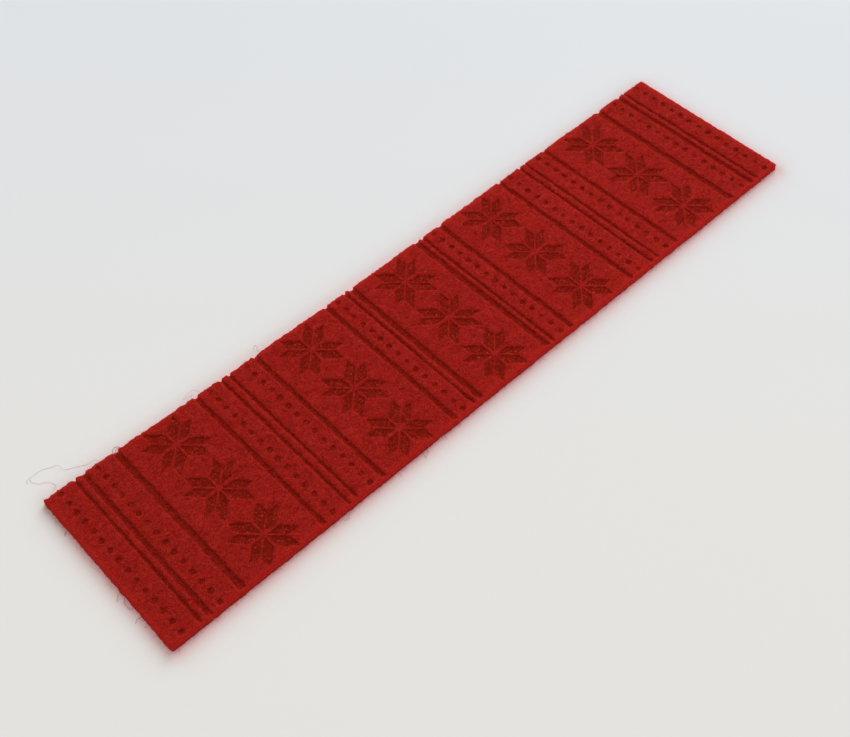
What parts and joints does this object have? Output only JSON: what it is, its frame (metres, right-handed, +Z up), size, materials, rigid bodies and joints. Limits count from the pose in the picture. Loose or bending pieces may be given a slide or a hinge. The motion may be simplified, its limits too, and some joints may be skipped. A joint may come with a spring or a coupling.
{
  "type": "engraved felt strip",
  "caption": "Flat rectangular strip of felt with grooves, dots and star figures engraved into its upper face, the blank of a wrist pin cushion.",
  "frame": {"origin": "middle of the underside, on the surface that the strip lies on", "axes": "+X along the strip, +Y across it towards the long edge that the grooves run out through, +Z up out of the engraved face"},
  "size_m": [0.21, 0.05, 0.002],
  "materials": {
    "felt": "matt red craft felt, darker where it is engraved"
  },
  "bodies": {
    "root": {"felt_strip": "felt"}
  },
  "joints": []
}
